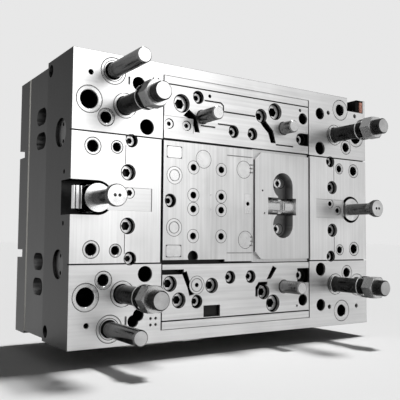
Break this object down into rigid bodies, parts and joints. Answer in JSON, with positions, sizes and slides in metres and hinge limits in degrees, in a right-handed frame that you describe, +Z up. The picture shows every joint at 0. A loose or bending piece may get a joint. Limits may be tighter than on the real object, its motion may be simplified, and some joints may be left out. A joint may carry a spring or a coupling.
{
  "type": "mould base",
  "caption": "Moving half of an injection mould base: stacked steel plates with inserts, leader pins, puller bolts and an ejector set.",
  "frame": {"origin": "centre of the register ring where it leaves the clamping face", "axes": "+X across the width, +Z up, +Y out of the clamping face; the parting face looks along -Y"},
  "size_m": [0.696, 0.425, 0.496],
  "materials": {
    "frame_steel": "ground",
    "side_steel": "machined",
    "insert_steel": "ground",
    "bar_steel": "milled",
    "pin_steel": "oiled",
    "black_steel": "black oxide",
    "bush_steel": "ground",
    "screw_steel": "satin",
    "insulation": "glass-fibre board",
    "cap_plastic": "moulded"
  },
  "bodies": {
    "mould_body": {"clamp_plate": "side_steel", "register_ring": "bush_steel", "register_ring_screws": "black_steel", "housing_screws": "black_steel", "insulation_plate": "insulation", "ejector_housing": "side_steel", "support_pillars": "side_steel", "stop_buttons": "bush_steel", "ejector_guide_pins": "pin_steel", "leader_pins": "pin_steel", "puller_bolts": "pin_steel", "puller_nuts": "screw_steel"},
    "frame_stack": {"frame_plate": "frame_steel", "port_cap": "cap_plastic", "interlock_discs": "side_steel", "left_cheek": "frame_steel", "right_cheek": "frame_steel", "left_keeper": "bar_steel", "right_keeper": "bar_steel", "left_latch_stud": "black_steel", "right_latch_stud": "black_steel", "core_insert": "insert_steel", "core_sleeves": "bush_steel", "wear_discs": "bush_steel", "corner_blocks": "insert_steel", "gate_block": "insert_steel", "cavity_insert": "insert_steel", "cavity_core": "bar_steel", "cavity_screws": "screw_steel", "upper_bar": "bar_steel", "lower_bar": "bar_steel", "upper_rail": "bar_steel", "lower_rail": "bar_steel", "ring_disc": "bush_steel", "lock_block": "bar_steel", "lock_block_screws": "screw_steel", "locating_pins": "bush_steel", "leader_bushes": "bush_steel", "receiver_bushes": "bush_steel", "guide_bushes": "bush_steel", "dowel_bushes": "bush_steel", "cheek_bushes": "bush_steel", "cheek_screws": "screw_steel", "seam_screws": "screw_steel", "keeper_screws": "screw_steel", "small_bar_screws": "screw_steel", "medium_bar_screws": "screw_steel", "large_bar_screws": "screw_steel"},
    "ejector_set": {"ejector_plate": "side_steel", "ejector_retainer_plate": "side_steel", "ejector_plate_screws": "black_steel", "core_ejector_pins": "bush_steel", "small_ejector_pins": "bush_steel", "ejector_guide_bushes": "bush_steel"}
  },
  "joints": [
    {"name": "opening_stroke", "type": "slide", "parent": "mould_body", "child": "frame_stack", "axis": [0, -1, 0], "range_m": [0, 0.0915]},
    {"name": "ejector_stroke", "type": "slide", "parent": "mould_body", "child": "ejector_set", "axis": [0, -1, 0], "range_m": [0, 0.0247]}
  ]
}
